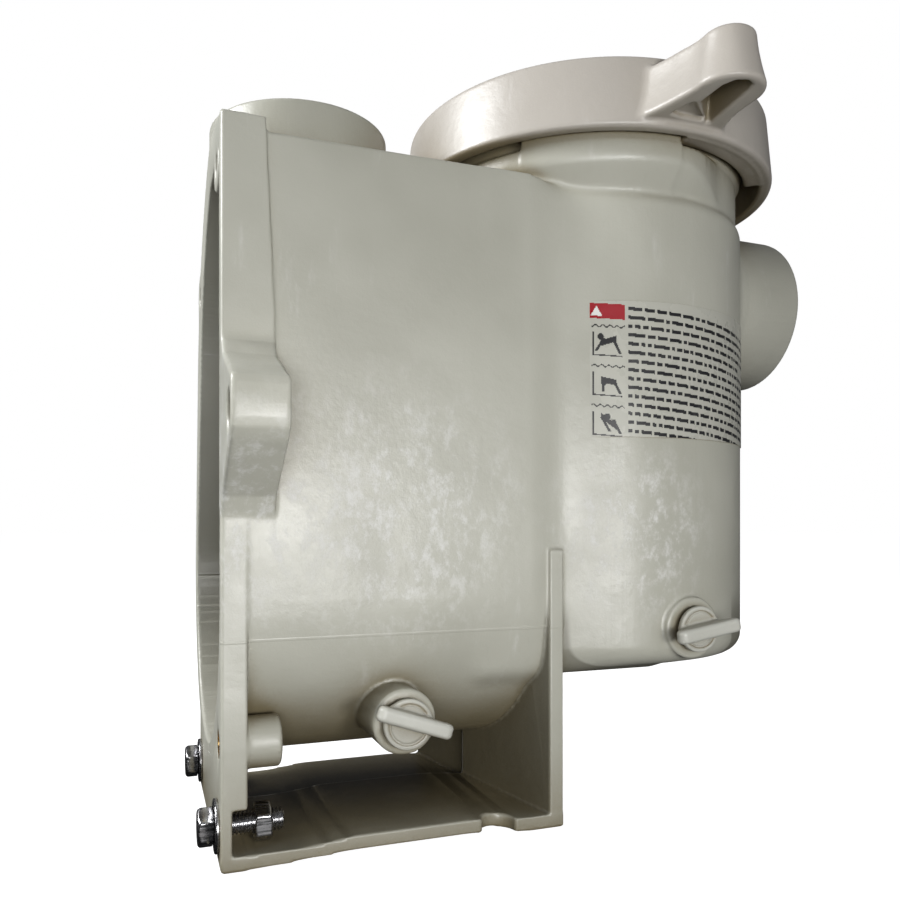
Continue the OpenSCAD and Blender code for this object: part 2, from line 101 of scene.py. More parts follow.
def polygon2(u, v, points):
    """Signed distance to a polygon in the plane, exact, below zero inside."""
    count = len(points)
    best = None
    sign = None
    for i in range(count):
        ax, ay = points[i]
        bx, by = points[i - 1]
        ex, ey = bx - ax, by - ay
        wx, wy = u - ax, v - ay
        t = np.clip((wx * ex + wy * ey) / (ex * ex + ey * ey), 0, 1)
        d = (wx - ex * t) ** 2 + (wy - ey * t) ** 2
        best = d if best is None else np.minimum(best, d)
        above, below, left = v >= ay, v < by, ex * wy > ey * wx
        flip = (above & below & left) | (~above & ~below & ~left)
        turn = np.where(flip, -1.0, 1.0)
        sign = turn if sign is None else sign * turn
    return sign * np.sqrt(best)


def smooth_min(a, b, k):
    if k <= 0:
        return np.minimum(a, b)
    h = np.clip(0.5 + 0.5 * (b - a) / k, 0, 1)
    return b + (a - b) * h - k * h * (1 - h)


def smooth_max(a, b, k):
    return -smooth_min(-a, -b, k)


def smoothstep(t):
    return t * t * (3 - 2 * t)


def extrude(flat, along, low, high, r=0.0):
    """A flat outline's distance swept between low and high, with its end edges rounded by r."""
    ends = np.abs(along - (low + high) / 2) - (high - low) / 2 + r
    side = flat + r
    return np.minimum(np.maximum(side, ends), 0) + np.hypot(np.maximum(side, 0), np.maximum(ends, 0)) - r


def capsule2(u, v, a, b, r):
    """Distance to a thick line from a to b in the plane."""
    ex, ey = b[0] - a[0], b[1] - a[1]
    t = np.clip(((u - a[0]) * ex + (v - a[1]) * ey) / (ex * ex + ey * ey), 0, 1)
    return np.hypot(u - a[0] - ex * t, v - a[1] - ey * t) - r


class Field:
    """A signed distance held on a grid, in millimetres, that solids are added to and cut from."""
    BAND = 2.5                                # steps of distance kept on either side of the surface
    FAR = 50.0                                # distance before anything is added

    def __init__(self, low, high, step):
        self.low = np.array(low, float)
        self.step = step
        self.axes = [np.arange(a, b + step, step, dtype=np.float32) for a, b in zip(low, high)]
        self.value = np.full([len(a) for a in self.axes], self.FAR, np.float32)

    def _part(self, low, high):
        index, grid = [], []
        for i, axis in enumerate(self.axes):
            a = 0 if low is None else max(0, int(np.searchsorted(axis, low[i])))
            b = len(axis) if high is None else min(len(axis), int(np.searchsorted(axis, high[i])) + 1)
            index.append(slice(a, b))
            shape = [1, 1, 1]
            shape[i] = b - a
            grid.append(axis[a:b].reshape(shape))
        return tuple(index), grid

    def add(self, shape, low=None, high=None, blend=0.0):
        """Joins shape(x, y, z) on, with a fillet of about blend."""
        part, grid = self._part(low, high)
        self.value[part] = smooth_min(self.value[part], shape(*grid), blend)

    def cut(self, shape, low=None, high=None, blend=0.0):
        """Takes shape(x, y, z) away, with its edges rounded by about blend."""
        part, grid = self._part(low, high)
        self.value[part] = smooth_max(self.value[part], -shape(*grid), blend)

    def mesh(self, name, triangles):
        """The surface as an object in metres, brought down to about that many triangles."""
        band = self.BAND * self.step
        grid = openvdb.FloatGrid(band)
        grid.copyFromArray(np.ascontiguousarray(np.clip(self.value, -band, band)))
        points, tris, quads = grid.convertToPolygons(isovalue=0.0, adaptivity=0.0)
        points = (points * self.step + self.low) * MM
        return thinned(mesh_object(name, points, [quads, tris]), triangles)


def mesh_object(name, points, face_sets):
    """A mesh object from arrays of points and of faces that each have one corner count."""
    data = bpy.data.meshes.new(name)
    loops = np.concatenate([np.asarray(f, np.int32)[:, ::-1].ravel() for f in face_sets if len(f)])
    totals = np.concatenate([np.full(len(f), len(f[0]), np.int32) for f in face_sets if len(f)])
    starts = np.concatenate([[0], np.cumsum(totals)[:-1]]).astype(np.int32)
    data.vertices.add(len(points))
    data.vertices.foreach_set("co", np.asarray(points, np.float32).ravel())
    data.loops.add(len(loops))
    data.loops.foreach_set("vertex_index", loops)
    data.polygons.add(len(totals))
    data.polygons.foreach_set("loop_start", starts)
    data.update(calc_edges=True)
    data.validate()
    data.shade_smooth()
    made = bpy.data.objects.new(name, data)
    bpy.context.scene.collection.objects.link(made)
    return made


def thinned(obj, triangles):
    """The same object with its mesh brought down to about that many triangles."""
    count = sum(len(p.vertices) - 2 for p in obj.data.polygons)
    if count > triangles:
        obj.modifiers.new("thin", "DECIMATE").ratio = triangles / count
        depsgraph = bpy.context.evaluated_depsgraph_get()
        full = obj.data
        thin = bpy.data.meshes.new_from_object(obj.evaluated_get(depsgraph))
        obj.modifiers.clear()
        obj.data = thin
        bpy.data.meshes.remove(full)
    obj.data.shade_smooth()
    return obj


# ---------------------------------------------------------------- housing
def tangent_angle(r1, r2):
    """Direction of the outward normal of the line that touches the shoulder's and the drum's circle."""
    dy, dz = VOL_Y - SHOULDER[0], VOL_Z - SHOULDER[1]
    return math.atan2(dz, dy) + math.acos((r1 - r2) / math.hypot(dy, dz))


def on_circle(centre, r, angle):
    return (centre[0] + r * math.cos(angle), centre[1] + r * math.sin(angle))


def duct(y, z, inset):
    """Outline of the volute and its riser."""
    r = SHOULDER_R - inset
    a = tangent_angle(SHOULDER_R, VOL_R)
    roof, near = ROOF_Z - inset, inset - HALF_W
    lean = LEAN * np.clip((z - LEAN_Z) / (ROOF_Z - LEAN_Z), 0, 1)
    flat_end = SHOULDER[0] + math.sqrt(r * r - (roof - SHOULDER[1]) ** 2)
    drum = circle2(y, z, VOL_Y, VOL_Z, VOL_R - inset)
    cap = np.maximum(circle2(y, z, *SHOULDER, r), np.maximum(np.maximum(near + lean - y, VOL_Z - z), z - roof))
    body = polygon2(y, z, [(near, VOL_Z), (near, LEAN_Z), (near + LEAN, roof), (flat_end, roof),
                           on_circle(SHOULDER, r, a), on_circle((VOL_Y, VOL_Z), VOL_R - inset, a),
                           (VOL_Y, VOL_Z)])
    return np.minimum(np.minimum(drum, cap), body)


def flange(y, z):
    """Outline of the flange: squared near edge, rounded far edge, foot below."""
    r1, r2 = SHOULDER_R + RIM_GROW, VOL_R + DRUM_GROW
    a = tangent_angle(r1, r2)
    d = np.minimum(circle2(y, z, VOL_Y, VOL_Z, r2), circle2(y, z, *SHOULDER, r1))
    d = np.minimum(d, polygon2(y, z, [SHOULDER, on_circle(SHOULDER, r1, a), on_circle((VOL_Y, VOL_Z), r2, a),
                                      (VOL_Y, VOL_Z), (NEAR_Y, VOL_Z), (NEAR_Y, ROOF_Z)]))
    d = np.minimum(d, polygon2(y, z, [(NEAR_Y, 0), (FOOT_FAR, 0), (FOOT_FAR, VOL_Z), (NEAR_Y, VOL_Z)]))
    wide = 2 * VOL_R
    frame_box = polygon2(y, z, [(NEAR_Y, 0), (NEAR_Y, CORNER_Z), (-23, CORNER_Z + 11),
                                (wide, CORNER_Z + 11), (wide, 0)])
    return np.maximum(d, frame_box)


def box_outline(half, low, high):
    return [(-half, low), (half, low), (half, high), (-half, high)]


def housing_outside(f):
    f.add(lambda x, y, z: np.maximum(extrude(duct(y, z, 3) - 3, x, -30, VOL_END + 1, 15), 1 - x))
    passage = box_outline(DUCT_HALF, POT_Z0 + 2, POT_Z1 - 6)
    f.add(lambda x, y, z: extrude(np.maximum(duct(y, z, 4), polygon2(y, z, passage)), x, 120, POT_X) - 2, blend=12)
    f.add(lambda x, y, z: extrude(circle2(x, y, POT_X, 0, POT_R), z, POT_Z0, POT_Z1, 9.5), blend=18)
    # flange, thick above and thin below the near ear
    f.add(lambda x, y, z: extrude(flange(y, z) + 0.6 * np.clip((z - 122) / 14, 0, 1), x, 0, FLANGE_LOW, 1.0),
          (-9, -90, -9), (30, 120, 330), 1.5)
    f.add(lambda x, y, z: extrude(np.maximum(np.maximum(flange(y, z), 142 - z), NEAR_Y + 4 - y), x,
          0, FLANGE_HIGH, 1.2), (-9, -90, 130), (40, 120, 330), 1.5)
    ear = [(-70, 139), (-73, 143), (-78, 150.5), (EAR_TIP + 5, 170), (EAR_TIP + 1.2, 174), (EAR_TIP, 178),
           (EAR_TIP, 190), (EAR_TIP + 1.5, 193.3), (-80, 206.5), (-74, 213), (-70, 220)]
    f.add(lambda x, y, z: extrude(polygon2(y, z, ear), x, 0, STRIP_W, 1.2), (-9, -125, 130), (40, -50, 240), 1.2)
    strip = [(0, 108), (STRIP_W, 108), (STRIP_W, 225), (18, CORNER_Z), (0, CORNER_Z)]
    f.add(lambda x, y, z: extrude(polygon2(x, z, strip), y - np.clip((168 - z) / 22, 0, 1),
          NEAR_Y, NEAR_Y + 9, 0.9), (-9, -90, 100), (40, -50, 320), 1.0)
    y2, z2 = TOP_HOLES[1]
    f.add(lambda x, y, z: extrude(circle2(y, z, y2, z2, 13), x, 0, FLANGE_HIGH, 1.2),
          (-9, 20, 230), (40, 90, 300), 5)
    f.add(lambda x, y, z: extrude(circle2(y, z, *BOSS), x, 0, 25, 1.4), (-9, -90, 20), (40, -30, 75), 1.6)


def foot(f):
    def plate(x, y, z):
        """The arched plate; its top only rises past the reach of the near bolt's nut."""
        start, stop = np.clip((x - 4) / 56, 0, 1), np.clip((x - 104) / 34, 0, 1)
        rise = FOOT_RELIEF * (smoothstep(start) - smoothstep(stop))
        top = FOOT_T - 0.25 + rise * np.clip((x - 30) / 25, 0, 1) - FOOT_STEP * np.clip((y + 1) * 2, 0, 1)
        flat = np.maximum(np.maximum(NEAR_Y - y, y - FOOT_FAR), np.abs(x - FOOT_END / 2) - FOOT_END / 2)
        return np.maximum(np.maximum(rise - z, z - top), flat)

    f.add(plate, (-9, -90, -9), (170, 70, 25), 0.4)
    drift = math.tan(FOOT_SLANT)
    for y0, y1, wide in ((NEAR_Y, -0.5, FOOT_T + 0.4), (-0.6, FOOT_FAR, FOOT_T - 2)):
        a, b = FOOT_END - drift * (y0 - NEAR_Y), FOOT_END - drift * (y1 - NEAR_Y)
        plan = [(a - wide, y0), (a, y0), (b, y1), (b - wide, y1)]
        f.add(lambda x, y, z: extrude(polygon2(x, y, plan), z, 0, VOL_Z + 18, 0.5),
              (100, -90, -9), (175, 70, 140), 0.8)


def neck(f):
    low, high = (POT_X - 110, -110, 280), (POT_X + 110, 110, 345)
    f.add(lambda x, y, z: extrude(circle2(x, y, POT_X, 0, NECK_R) + np.clip((320 - z) / 4, 0, 1) * NECK_WAIST, z,
          POT_Z1 - 10, NECK_TOP, 0.8), low, high, 1.2)

    def cone(radius, z):
        """Slope of the shoulder that carries the stop blocks."""
        return (radius - (NECK_R - 1) - (z - POT_Z1 + 1) * 0.8) * 0.78

    def block(a0, a1, stop):
        """Stop block, or else a lug, between two azimuths, and its twin on the other side."""
        def shape(x, y, z):
            dx = x - POT_X
            radius = np.hypot(dx, y)
            middle, half = math.radians((a0 + a1) / 2), math.radians((a1 - a0) / 2)
            turned = np.arctan2(y, dx) - middle
            turned = np.abs((turned + math.pi / 2) % math.pi - math.pi / 2)
            side = (turned - half) * radius
            if stop:
                body = np.maximum(smooth_max(radius - STOP_R, cone(radius, z), 1.6), z - (NECK_TOP - 6))
            else:
                ramp = (np.arctan2(y, dx) - math.radians(a0)) % math.pi / (2 * half)
                low_z = TAB_TOP + 0.6 + LIFT * np.clip(ramp, 0, 1)
                body = np.maximum(radius - (STOP_R - 0.6), np.maximum(z - (NECK_TOP - 7), low_z - z))
            return np.maximum(np.maximum(body, side), NECK_R - 4 - radius)
        return shape

    def flare(x, y, z):
        """Low cone under the stop blocks, which fades out a little past either end of them."""
        dx = x - POT_X
        radius = np.hypot(dx, y)
        past = np.degrees((np.arctan2(y, dx) + math.radians(92)) % math.pi)
        amount = np.maximum(1 - smoothstep(np.clip(past / 36, 0, 1)), np.clip((past - 64) / 20, 0, 1))
        reach = NECK_R - 4 + (STOP_R - NECK_R + 3.8) * amount
        crown = (z - 316) * 0.9 + (radius - NECK_R) * 0.15
        return np.maximum(smooth_max(radius - reach, cone(radius, z), 1.6), np.maximum(crown, NECK_R - 6 - radius))

    f.add(block(-138, -90, True), low, high, 2.5)
    f.add(flare, low, (POT_X + 110, 110, 318), 1.5)
    f.add(block(-92, -90 + LUG_SPAN, False), low, high, 0.5)


def collars_and_bosses(f):
    f.add(lambda x, y, z: extrude(circle2(x, y, DISCHARGE_X, 0, PORT_R), z, ROOF_Z - 20, DISCHARGE_TOP, 1.2),
          (-9, -60, 270), (110, 60, 340), 2)
    # facet round the suction collar, then the collar with its slight draft
    f.add(lambda x, y, z: extrude(circle2(y, z, 0, SUCTION_Z, 46) + 0.24 * np.clip(x - POT_X - 68, 0, 12), x,
          POT_X + 40, POT_X + 78, 0.4), (230, -70, 190), (330, 70, 330), 4)
    f.add(lambda x, y, z: extrude(circle2(y, z, 0, SUCTION_Z, PORT_R + 0.4) + (x - SUCTION_END) * 0.012, x,
          POT_X + 40, SUCTION_END, 2.0), (230, -70, 190), (330, 70, 330), 2)
    for (px, pz, face), radius in ((POT_PLUG, 14.5), (VOL_PLUG, 14.0)):
        f.add(lambda x, y, z: extrude(circle2(x, z, px, pz, radius), y, face, face + 40, 0.8),
              (px - 40, face - 9, pz - 40), (px + 40, -40, pz + 40), 1.6)


def housing_inside(f):
    f.cut(lambda x, y, z: extrude(duct(y, z, WALL), x, -20, DIVIDER_X, 2), (-9, -90, 20), (110, 110, 310), 1.0)
    boss = lambda x, y, z: extrude(np.maximum(circle2(y, z, *TOP_HOLES[0], 11), duct(y, z, 1)), x, 0, 26, 0.8)
    f.add(boss, (-9, -75, 270), (35, -30, 310), 2)
    f.cut(lambda x, y, z: extrude(duct(y, z, WALL + 6), x, DIVIDER_X + WALL + 2, VOL_END - WALL - 2) - 2,
          (90, -90, 20), (165, 110, 310))
    passage = box_outline(DUCT_HALF - WALL, POT_Z0 + 15, POT_Z1 - 12)
    f.cut(lambda x, y, z: extrude(np.maximum(duct(y, z, WALL + 4), polygon2(y, z, passage)), x,
          VOL_END - 20, POT_X), (120, -90, 60), (230, 110, 310))
    # posts of the diffuser with their screw holes, and the eye
    for j in range(3):
        py, pz = on_circle((VOL_Y, VOL_Z), 66, math.radians(120 * j))
        low, high = (55, -90, 20), (100, 110, 200)
        f.add(lambda x, y, z: extrude(circle2(y, z, py, pz, 6), x, 62, DIVIDER_X + 2), low, high, 1.5)
        f.cut(lambda x, y, z: extrude(circle2(y, z, py, pz, 2.2), x, 50, 76), low, high)
    f.cut(lambda x, y, z: extrude(circle2(y, z, VOL_Y, VOL_Z, EYE_R), x, 90, 120),
          (85, -40, 70), (125, 50, 150), 0.6)
    f.cut(lambda x, y, z: extrude(circle2(x, y, POT_X, 0, POT_R - WALL), z, POT_Z0 + WALL, POT_Z1 - WALL, 5),
          (110, -90, 60), (300, 90, 300))
    f.cut(lambda x, y, z: extrude(circle2(x, y, POT_X, 0, NECK_BORE), z, 200, 360),
          (110, -90, 200), (300, 90, 345), 0.8)
    # sockets and their throats
    for radius, depth in ((SOCKET_R, SOCKET_LEN), (SOCKET_R - 4, SOCKET_LEN + 15)):
        f.cut(lambda x, y, z: extrude(circle2(x, y, DISCHARGE_X, 0, radius), z, DISCHARGE_TOP - depth, 360),
              (-9, -60, 260), (110, 60, 345), 0.8)
        f.cut(lambda x, y, z: extrude(circle2(y, z, 0, SUCTION_Z, radius), x, SUCTION_END - depth, 360),
              (250, -60, 200), (330, 60, 320), 0.8)
    seat = lambda x, y, z: extrude(np.abs(np.hypot(x - POT_X, y) - 80.5) - 1.8, z, NECK_TOP - 2, 350)
    f.cut(seat, (100, -100, 330), (300, 100, 345))
    # holes of the flange, the boss and the foot bolts, and the pockets behind those
    for (hy, hz), depth, radius in ((TOP_HOLES[0], 40, 5), (TOP_HOLES[1], 40, 5), (EAR_HOLE, 40, 5),
                                    (BOSS[:2], 16, 6), (FOOT_BOLTS[0], 30, 5.05), (FOOT_BOLTS[1], 30, 5.05)):
        f.cut(lambda x, y, z: extrude(circle2(y, z, hy, hz, radius), x, -20, depth),
              (-9, hy - 12, hz - 12), (45, hy + 12, hz + 12), 0.6)
    ry, rz = EAR_HOLE
    f.cut(lambda x, y, z: np.hypot((y - ry) * 1.15, z - rz) - 8.0 + 0.35 * np.maximum(x, 0),
          (-9, ry - 15, rz - 15), (9, ry + 15, rz + 15), 0.4)
    for hy, _ in FOOT_BOLTS:
        pocket = box_outline(13, FOOT_T - 0.3, FOOT_T + 17.9)
        f.cut(lambda x, y, z: extrude(polygon2(y - hy + 1, z, pocket), x, 4.7, FLANGE_LOW + 6, 0.6),
              (2, hy - 20, 0), (14, hy + 20, 30), 0.5)
    for (px, pz, face), depth in ((POT_PLUG, 30), (VOL_PLUG, 50)):
        f.cut(lambda x, y, z: extrude(circle2(x, z, px, pz, PLUG_HOLE), y, face - 20, face + depth),
              (px - 20, face - 9, pz - 20), (px + 20, face + depth + 9, pz + 20), 0.6)
    # notch in the foot's near edge
    f.cut(lambda x, y, z: extrude(circle2(x, y, 121, NEAR_Y, 8), z, -20, 30),
          (100, -90, -9), (140, -50, 25), 0.8)


def make_housing():
    step = 1.0
    f = Field((-6, -122, -5), (326, 100, 343), step)
    housing_outside(f)
    foot(f)
    neck(f)
    collars_and_bosses(f)
    housing_inside(f)
    f.cut(lambda x, y, z: np.minimum(np.minimum(z, x), SUCTION_END - x))
    return f.mesh("housing_moulding", 190000)


# ---------------------------------------------------------------- clamp ring
# the loop's slot and the shallow recess beside it, in plan and measured from the pot's axis
SLOT = [(-7.4, -116.5), (-7.4, -130), (-5.4, -134.2), (-2, -135.4), (1.0, -134), (2.2, -130.5), (5.0, -103.4)]
RECESS = [(-11.5, -114.5), (-14.5, -104.6), (-8.5, -103.2), (1.6, -103.2)]


def make_ring():
    f = Field((POT_X - 105, -146, RING_Z0 - 4), (POT_X + 105, 146, RING_Z1 + 4), 0.8)

    def ring(x, y, z):
        radius = np.hypot(x - POT_X, y)
        draft = (z - RING_Z0) * 0.09
        d = extrude(radius - RING_R + draft, z, RING_Z0, RING_Z1, 2.2)
        for side in (1, -1):
            u, v = (x - POT_X) * side, y * side
            spread = 4.6 * np.clip((EAR_Z1 - z) / 25, 0, 1) ** 1.6
            ear = capsule2(u, v, (EAR_MID, -90), (EAR_MID, EAR_HALF - EAR_END), EAR_HALF)
            root = capsule2(u, v, (EAR_MID - 17, -87), (EAR_MID - 6, -106), 5.5)
            short = capsule2(u, v, (EAR_MID + 16, -87), (EAR_MID + 7, -102), 5)
            flat = smooth_min(smooth_min(ear, root, 13), short, 7) - spread
            d = smooth_min(d, extrude(flat, z, EAR_Z0, EAR_Z1, 2.2), 2.0)
        return d

    f.add(ring)
    for side in (1, -1):
        f.cut(lambda x, y, z: extrude(polygon2((x - POT_X) * side, y * side, SLOT) - 1.6
                                      + 4.2 * np.clip((z - RING_Z0 - 3) / 25, 0, 1), z, 290, 370), blend=1.2)
        f.cut(lambda x, y, z: extrude(polygon2((x - POT_X) * side, y * side, RECESS) - 0.8, z,
                                      290, RING_Z0 + 5.6), blend=1.0)
    f.cut(lambda x, y, z: extrude(np.hypot(x - POT_X, y) - RING_BORE, z, 290, LIP_Z), blend=1.4)
    f.cut(lambda x, y, z: extrude(np.hypot(x - POT_X, y) - 80, z, 290, 370), blend=1.6)

    def tabs(x, y, z):
        dx = x - POT_X
        radius = np.hypot(dx, y)
        middle, half = math.radians(-89.5 + LUG_SPAN / 2 - 0.25), math.radians(LUG_SPAN / 2 - 0.25)
        turned = np.abs((np.arctan2(y, dx) - middle + math.pi / 2) % math.pi - math.pi / 2)
        flat = np.maximum(np.maximum(TAB_R - radius, radius - RING_BORE - 2), (turned - half) * radius)
        return extrude(flat, z, RING_Z0, TAB_TOP, 0.6)

    f.add(tabs, blend=0.8)
    return f.mesh("clamp_ring_moulding", 150000)


# ---------------------------------------------------------------- plugs
def make_plug(name, place, tilt, shift=0.0):
    """Drain plug with a wing head turned by tilt degrees and standing off centre by shift."""
    px, pz, face = place
    seat = face - 2.64
    f = Field((px - 19, seat - 13, pz - 19), (px + 19, face + 14, pz + 19), 0.35)
    f.add(lambda x, y, z: extrude(circle2(x, z, px, pz, 10.7), y, seat - 3, seat, 0.9))
    f.cut(lambda x, y, z: extrude(np.abs(circle2(x, z, px, pz, 8.2)) - 0.5, y, seat - 9, seat - 2.5), blend=0.4)
    c, s = math.cos(math.radians(tilt)), math.sin(math.radians(tilt))

    def wing(x, y, z):
        u, w = (x - px) * c - (z - pz) * s, (x - px) * s + (z - pz) * c
        side = capsule2(u, y, (-13.6, seat - 8.8), (13.6, seat - 8.8), 3.3)
        root = capsule2(u, y, (-6, seat), (6, seat), 3.6)
        return extrude(smooth_min(side, root, 9), w, shift - 3.2, shift + 3.2, 2.0)

    f.add(wing, blend=1.2)

    def shank(x, y, z):
        turn = np.arctan2(z - pz, x - px) / (2 * math.pi)
        ridge = 0.45 * np.abs(((y / 1.411 - turn) % 1.0) * 2 - 1)
        return extrude(circle2(x, z, px, pz, PLUG_HOLE - 0.15) + ridge, y, seat - 0.5, face + 12, 0.4)

    f.add(shank)
    return f.mesh(name, 60000)


# ---------------------------------------------------------------- lid
def make_lid():
    """Clear lid: a rim, a skirt, a low dome, three ribs across and a hub."""
    z0 = NECK_TOP + 1.4
    f = Field((POT_X - 96, -96, z0 - 12), (POT_X + 96, 96, LIP_Z + 3), 0.8)
    radius = lambda x, y: np.hypot(x - POT_X, y)
    f.add(lambda x, y, z: extrude(np.abs(radius(x, y) - 81.2) - 11.2, z, z0, LIP_Z - 0.4, 1.2))
    f.add(lambda x, y, z: extrude(np.abs(radius(x, y) - LID_R) - 2.9, z, z0 - 9, z0 + 2, 1.0), blend=1.2)
    dome = lambda x, y: 3.0 * (1 - np.minimum(radius(x, y) / LID_R, 1) ** 2)
    f.add(lambda x, y, z: np.maximum(np.abs(z - (z0 - 6.5) - dome(x, y)) - 2.2, radius(x, y) - LID_R - 1), blend=1.6)
    for j in range(3):
        c, s = math.cos(math.pi * j / 3), math.sin(math.pi * j / 3)
        f.add(lambda x, y, z: extrude(np.maximum(np.abs(-(x - POT_X) * s + y * c) - 1.5, radius(x, y) - LID_R), z,
              z0 - 5, z0 + 3.8, 0.6), blend=1.8)
    f.add(lambda x, y, z: extrude(radius(x, y) - 12, z, z0 - 5, z0 + 4.6, 1.4), blend=2)
    return f.mesh("lid_clear_cover", 100000)


# ---------------------------------------------------------------- bolts
TURNS = 96                                    # corners round a bolt, nut or washer


def ring_points(rings, pos):
    """Points of rings along X, each given as (x, radius function of the angle)."""
    angles = np.arange(TURNS) * 2 * math.pi / TURNS
    points = []
    for x, radius in rings:
        r = np.array([radius(a) for a in angles])
        points.append(np.stack([np.full(TURNS, x), pos[0] + r * np.cos(angles), pos[1] + r * np.sin(angles)], 1))
    return np.concatenate(points)


def ring_faces(pairs):
    """Faces that join ring i to ring k, turned to look outward, for each pair (i, k)."""
    faces = [(i * TURNS + j, i * TURNS + (j + 1) % TURNS, k * TURNS + (j + 1) % TURNS, k * TURNS + j)
             for i, k in pairs for j in range(TURNS)]
    return np.array(faces)[:, ::-1]


def lathe_x(name, rings, pos):
    """A body of revolution along X, closed by a cap at either end."""
    flat = ring_points(rings, pos)
    first, last = len(flat), len(flat) + 1
    flat = np.concatenate([flat, [[rings[0][0], *pos], [rings[-1][0], *pos]]])
    end = (len(rings) - 1) * TURNS
    caps = [(first, (j + 1) % TURNS, j) for j in range(TURNS)]
    caps += [(last, end + j, end + (j + 1) % TURNS) for j in range(TURNS)]
    walls = ring_faces([(i, i + 1) for i in range(len(rings) - 1)])
    return mesh_object(name, flat * MM, [walls, np.array(caps)[:, ::-1]])


def hex_radius(chamfer):
    """Radius of the hexagon at an angle, cut back to the round chamfer."""
    def radius(angle):
        a = (angle + math.pi / 6) % (math.pi / 3) - math.pi / 6
        return min(HEX_ACROSS / 2 / math.cos(a), chamfer)
    return radius


def round_radius(r):
    return lambda angle: r


def thread_radius(x, crest, pitch=1.5875, depth=0.86):
    """Radius of a screw thread at x, for every angle."""
    def radius(angle):
        phase = (x / pitch - angle / (2 * math.pi)) % 1.0
        tooth = min(1.0, max(0.0, abs(phase * 2 - 1) * 1.35 - 0.16))
        return crest - depth * (1 - tooth)
    return radius


def bolt(name, pos):
    """Hex head, then the thread as one ring after another, thinning in the last millimetre."""
    rings = [(-8.2, hex_radius(5.6)), (-8.2, hex_radius(6.7)), (-7.9, hex_radius(7.3)),
             (-7.3, hex_radius(HEX_CORNER - 0.15)), (-6.7, hex_radius(HEX_CORNER)),
             (-2.3, hex_radius(HEX_CORNER)), (-2.2, hex_radius(7.0)), (-1.75, round_radius(6.8)),
             (-1.70, round_radius(BOLT_R - 0.1))]
    start, count = -1.6, 170
    for i in range(count):
        x = start + (BOLT_TIP - start) * i / (count - 1)
        end = max(0.0, x - (BOLT_TIP - 1.0)) * 0.9
        rings.append((x, thread_radius(x, BOLT_R - 0.04 - end)))
    return lathe_x(name, rings, pos)


def ring_body(name, outside, inside, pos):
    """A closed body with a hole along X: an outside and an inside row of (x, radius function) rings."""
    rings = outside + inside[::-1]
    walls = ring_faces([(i, (i + 1) % len(rings)) for i in range(len(rings))])
    return mesh_object(name, ring_points(rings, pos) * MM, [walls])


def nut(name, pos, x):
    a, b = x, x + 7.1
    outside = [(a, round_radius(5.3)), (a, hex_radius(6.9)), (a + 0.5, hex_radius(HEX_CORNER - 0.2)),
               (a + 1.0, hex_radius(HEX_CORNER)), (b - 1.0, hex_radius(HEX_CORNER)),
               (b - 0.5, hex_radius(HEX_CORNER - 0.2)), (b, hex_radius(6.9)), (b, round_radius(5.3))]
    inside = [(a + 0.5, round_radius(BOLT_R + 0.05)), (b - 0.5, round_radius(BOLT_R + 0.05))]
    return ring_body(name, outside, inside, pos)


def washer(name, pos):
    r0, r1, a, b = 5.05, 11.0, -1.65, -0.05
    outside = [(a, round_radius(r0 + 0.2)), (a, round_radius(r1 - 0.5)), (a + 0.15, round_radius(r1 - 0.15)),
               (a + 0.5, round_radius(r1)), (b - 0.2, round_radius(r1)), (b, round_radius(r1 - 0.2)),
               (b, round_radius(r0 + 0.2))]
    inside = [(a + 0.2, round_radius(r0)), (b - 0.2, round_radius(r0))]
    return ring_body(name, outside, inside, pos)


# ---------------------------------------------------------------- label
LABEL_A, LABEL_B = -118.3, -38.0              # azimuths of its two ends, in degrees
LABEL_Z0, LABEL_Z1 = 180.0, 243.0
LABEL_R, LABEL_T = POT_R + 0.05, 0.42
FILM, RED, INK, WHITE = range(4)
ROWS, ROW_GAP, SHORT_ROWS = 17, 4.0, (4, 10, 12, 14)


def word_rows(rng):
    """Rows of plain dashes, as (start, end, lowest z, highest z), that stand for lines of print."""
    rows = []
    for i in range(ROWS):
        z = 240.6 - ROW_GAP * i
        at, end = 19.0, 116.0 - rng.uniform(0, 22) * (i in SHORT_ROWS)
        while at < end - 3:
            length = rng.choice((1.9, 2.8, 3.9, 5.2, 6.6, 8.2))
            rows.append((at, min(at + length, end), z - 0.8, z + 0.8))
            at += length + 1.15
    return rows


def label_print(s, z, words):
    """What is printed at distance s along the label and height z: a band, three line drawings and the dashes."""
    if 0.6 < s < 17.2 and 235.2 < z < 242.2:
        u, w = s - 4.2, z - 236.4
        inside = 0 < w < 4.6 and abs(u) < (4.6 - w) * 0.58
        return WHITE if inside else RED
    for j in range(3):
        u, w = s - 9.6, z - 225.4 + 18.4 * j
        edge = abs(u + 6.8) < 0.3 and -7.4 < w < 3.5 or abs(w + 7.1) < 0.3 and -6.8 < u < 6.5
        wave = abs(w - 6.4 - 0.45 * math.sin(u * 1.9 + j)) < 0.32 and abs(u) < 7.6
        head = math.hypot(u + 3.4 - 1.5 * j, w - 1.5 + 2.6 * (j == 1)) < 1.5
        lean = 0.35 - 0.5 * j
        trunk = abs(w - lean * u + 0.4) < 1.35 and -3.2 < u < 3.8
        limb = abs(u - 2.6 + 0.5 * w) < 0.75 and -6.0 < w < 0.5
        arm = abs(u + 2.4 - 0.6 * w * (1 - j)) < 0.7 and -5.4 < w < 1.0
        if edge or wave or head or trunk or limb or arm:
            return INK
    for a, b, c, d in words:
        if a < s < b and c < z < d:
            return INK
    return FILM


